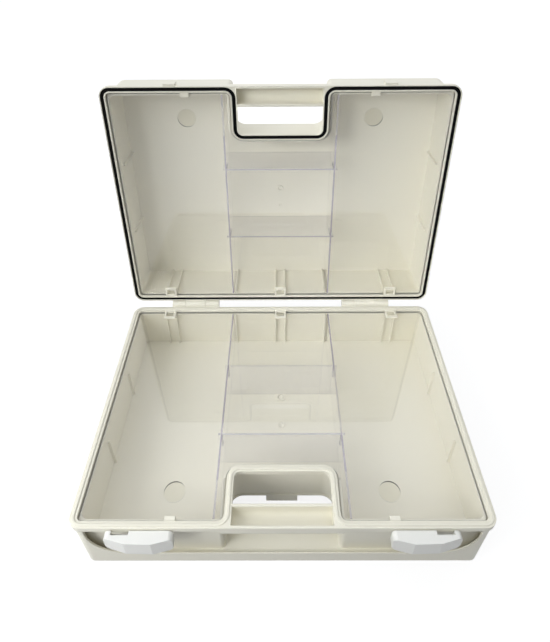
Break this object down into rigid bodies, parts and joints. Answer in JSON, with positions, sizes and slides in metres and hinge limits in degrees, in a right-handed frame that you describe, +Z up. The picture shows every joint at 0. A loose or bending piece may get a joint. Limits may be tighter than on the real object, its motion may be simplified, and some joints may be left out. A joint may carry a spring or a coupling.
{
  "type": "art supply box",
  "caption": "Cream plastic carry case, shown open: two hinged shells with a split moulded handle, rim seal, turn latches, clear snap-in covers and clear dividers.",
  "frame": {"origin": "middle of the base's footprint, on the plane of its foot ring", "axes": "+X across the case to its right side, -Y towards the handle and latches, +Z up"},
  "size_m": [0.4, 0.3979, 0.3749],
  "materials": {
    "shell_plastic": "satin moulded cream plastic",
    "latch_plastic": "satin moulded cream plastic",
    "seal_rubber": "black extruded rubber strip",
    "clear_sheet": "clear polished sheet with a faint violet edge",
    "pin_steel": "plain drawn steel pin"
  },
  "bodies": {
    "base": {"base_shell": "shell_plastic", "base_cover": "clear_sheet", "base_divider_left": "clear_sheet", "base_divider_right": "clear_sheet", "base_cross_divider_rear": "clear_sheet", "base_cross_divider_front": "clear_sheet", "hinge_pin_left": "pin_steel", "hinge_pin_right": "pin_steel"},
    "lid": {"lid_shell": "shell_plastic", "lid_gasket": "seal_rubber", "lid_cover": "clear_sheet", "lid_divider_left": "clear_sheet", "lid_divider_right": "clear_sheet", "lid_cross_divider_rear": "clear_sheet", "lid_cross_divider_front": "clear_sheet"},
    "latch_left": {"latch_left": "latch_plastic"},
    "latch_right": {"latch_right": "latch_plastic"}
  },
  "joints": [
    {"name": "lid_hinge", "type": "hinge", "parent": "base", "child": "lid", "pos_m": [0, 0.1535, 0.07215], "axis": [1, 0, 0], "range_deg": [0, 94.3]},
    {"name": "latch_left_turn", "type": "hinge", "parent": "base", "child": "latch_left", "pos_m": [-0.133, -0.148, 0.059], "axis": [0, 1, 0], "range_deg": [0, 90]},
    {"name": "latch_right_turn", "type": "hinge", "parent": "base", "child": "latch_right", "pos_m": [0.133, -0.148, 0.059], "axis": [0, -1, 0], "range_deg": [0, 90]}
  ]
}
